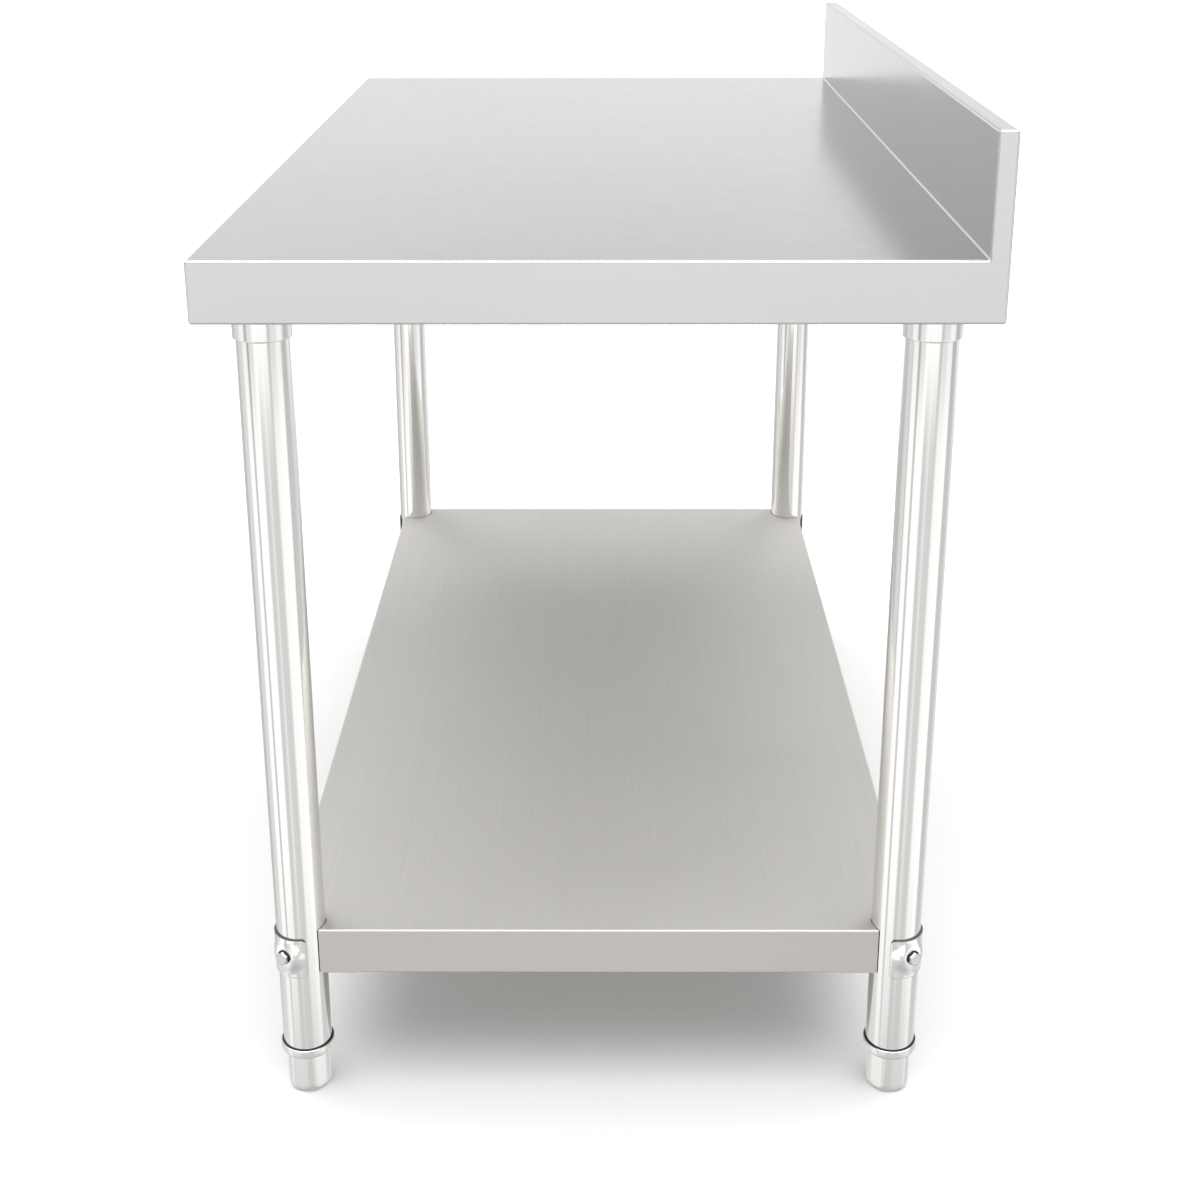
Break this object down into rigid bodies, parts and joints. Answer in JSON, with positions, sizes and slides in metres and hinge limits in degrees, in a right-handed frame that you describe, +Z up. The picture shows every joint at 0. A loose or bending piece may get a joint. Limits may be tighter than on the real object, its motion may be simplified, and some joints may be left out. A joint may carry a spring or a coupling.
{
  "type": "stainless steel work table",
  "caption": "Restaurant kitchen work table in folded stainless sheet, with a rear upstand, an undershelf clamped to round tube legs, and screw-adjustable feet.",
  "frame": {"origin": "on the floor, under the middle of the table", "axes": "+X along the table to the right as seen from the front, +Y to the back where the upstand is, +Z up"},
  "size_m": [1.2, 0.7, 0.98],
  "materials": {
    "brushed_steel": "brushed stainless sheet",
    "shelf_steel": "satin stainless sheet",
    "polished_steel": "mirror-polished stainless",
    "screw_steel": "machined stainless",
    "glide_nylon": "moulded nylon"
  },
  "bodies": {
    "table": {"worktop": "brushed_steel", "end_plate_left": "brushed_steel", "end_plate_right": "brushed_steel", "top_channel_left": "shelf_steel", "top_channel_centre": "shelf_steel", "top_channel_right": "shelf_steel", "undershelf": "shelf_steel", "shelf_channel": "shelf_steel", "leg_front_left": "polished_steel", "leg_cup_front_left": "polished_steel", "clamp_plate_front_left": "polished_steel", "shelf_saddle_front_left": "polished_steel", "foot_plug_front_left": "polished_steel", "cup_screw_front_left": "screw_steel", "clamp_bolt_front_left": "screw_steel", "clamp_nut_front_left": "screw_steel", "leg_front_right": "polished_steel", "leg_cup_front_right": "polished_steel", "clamp_plate_front_right": "polished_steel", "shelf_saddle_front_right": "polished_steel", "foot_plug_front_right": "polished_steel", "cup_screw_front_right": "screw_steel", "clamp_bolt_front_right": "screw_steel", "clamp_nut_front_right": "screw_steel", "leg_back_left": "polished_steel", "leg_cup_back_left": "polished_steel", "clamp_plate_back_left": "polished_steel", "shelf_saddle_back_left": "polished_steel", "foot_plug_back_left": "polished_steel", "cup_screw_back_left": "screw_steel", "clamp_bolt_back_left": "screw_steel", "clamp_nut_back_left": "screw_steel", "leg_back_right": "polished_steel", "leg_cup_back_right": "polished_steel", "clamp_plate_back_right": "polished_steel", "shelf_saddle_back_right": "polished_steel", "foot_plug_back_right": "polished_steel", "cup_screw_back_right": "screw_steel", "clamp_bolt_back_right": "screw_steel", "clamp_nut_back_right": "screw_steel"},
    "foot_pad_front_left": {"foot_glide_front_left": "glide_nylon"},
    "foot_screw_front_left": {"foot_body_front_left": "polished_steel", "foot_stud_front_left": "screw_steel"},
    "foot_pad_front_right": {"foot_glide_front_right": "glide_nylon"},
    "foot_screw_front_right": {"foot_body_front_right": "polished_steel", "foot_stud_front_right": "screw_steel"},
    "foot_pad_back_left": {"foot_glide_back_left": "glide_nylon"},
    "foot_screw_back_left": {"foot_body_back_left": "polished_steel", "foot_stud_back_left": "screw_steel"},
    "foot_pad_back_right": {"foot_glide_back_right": "glide_nylon"},
    "foot_screw_back_right": {"foot_body_back_right": "polished_steel", "foot_stud_back_right": "screw_steel"}
  },
  "joints": [
    {"name": "foot_turn_front_left", "type": "hinge", "parent": "foot_pad_front_left", "child": "foot_screw_front_left", "pos_m": [-0.5545, -0.2957, 0.03], "axis": [0, 0, -1], "range_deg": [0, 5940]},
    {"name": "foot_height_front_left", "type": "slide", "parent": "table", "child": "foot_pad_front_left", "axis": [0, 0, -1], "range_m": [0, 0.02888]},
    {"name": "foot_turn_front_right", "type": "hinge", "parent": "foot_pad_front_right", "child": "foot_screw_front_right", "pos_m": [0.5545, -0.2957, 0.03], "axis": [0, 0, -1], "range_deg": [0, 5940]},
    {"name": "foot_height_front_right", "type": "slide", "parent": "table", "child": "foot_pad_front_right", "axis": [0, 0, -1], "range_m": [0, 0.02888]},
    {"name": "foot_turn_back_left", "type": "hinge", "parent": "foot_pad_back_left", "child": "foot_screw_back_left", "pos_m": [-0.5545, 0.2957, 0.03], "axis": [0, 0, -1], "range_deg": [0, 5940]},
    {"name": "foot_height_back_left", "type": "slide", "parent": "table", "child": "foot_pad_back_left", "axis": [0, 0, -1], "range_m": [0, 0.02888]},
    {"name": "foot_turn_back_right", "type": "hinge", "parent": "foot_pad_back_right", "child": "foot_screw_back_right", "pos_m": [0.5545, 0.2957, 0.03], "axis": [0, 0, -1], "range_deg": [0, 5940]},
    {"name": "foot_height_back_right", "type": "slide", "parent": "table", "child": "foot_pad_back_right", "axis": [0, 0, -1], "range_m": [0, 0.02888]}
  ],
  "couplings": [
    {"joint": "foot_height_front_left", "follows": "foot_turn_front_left", "m_per_rad": 0.00027852},
    {"joint": "foot_height_front_right", "follows": "foot_turn_front_right", "m_per_rad": 0.00027852},
    {"joint": "foot_height_back_left", "follows": "foot_turn_back_left", "m_per_rad": 0.00027852},
    {"joint": "foot_height_back_right", "follows": "foot_turn_back_right", "m_per_rad": 0.00027852}
  ]
}
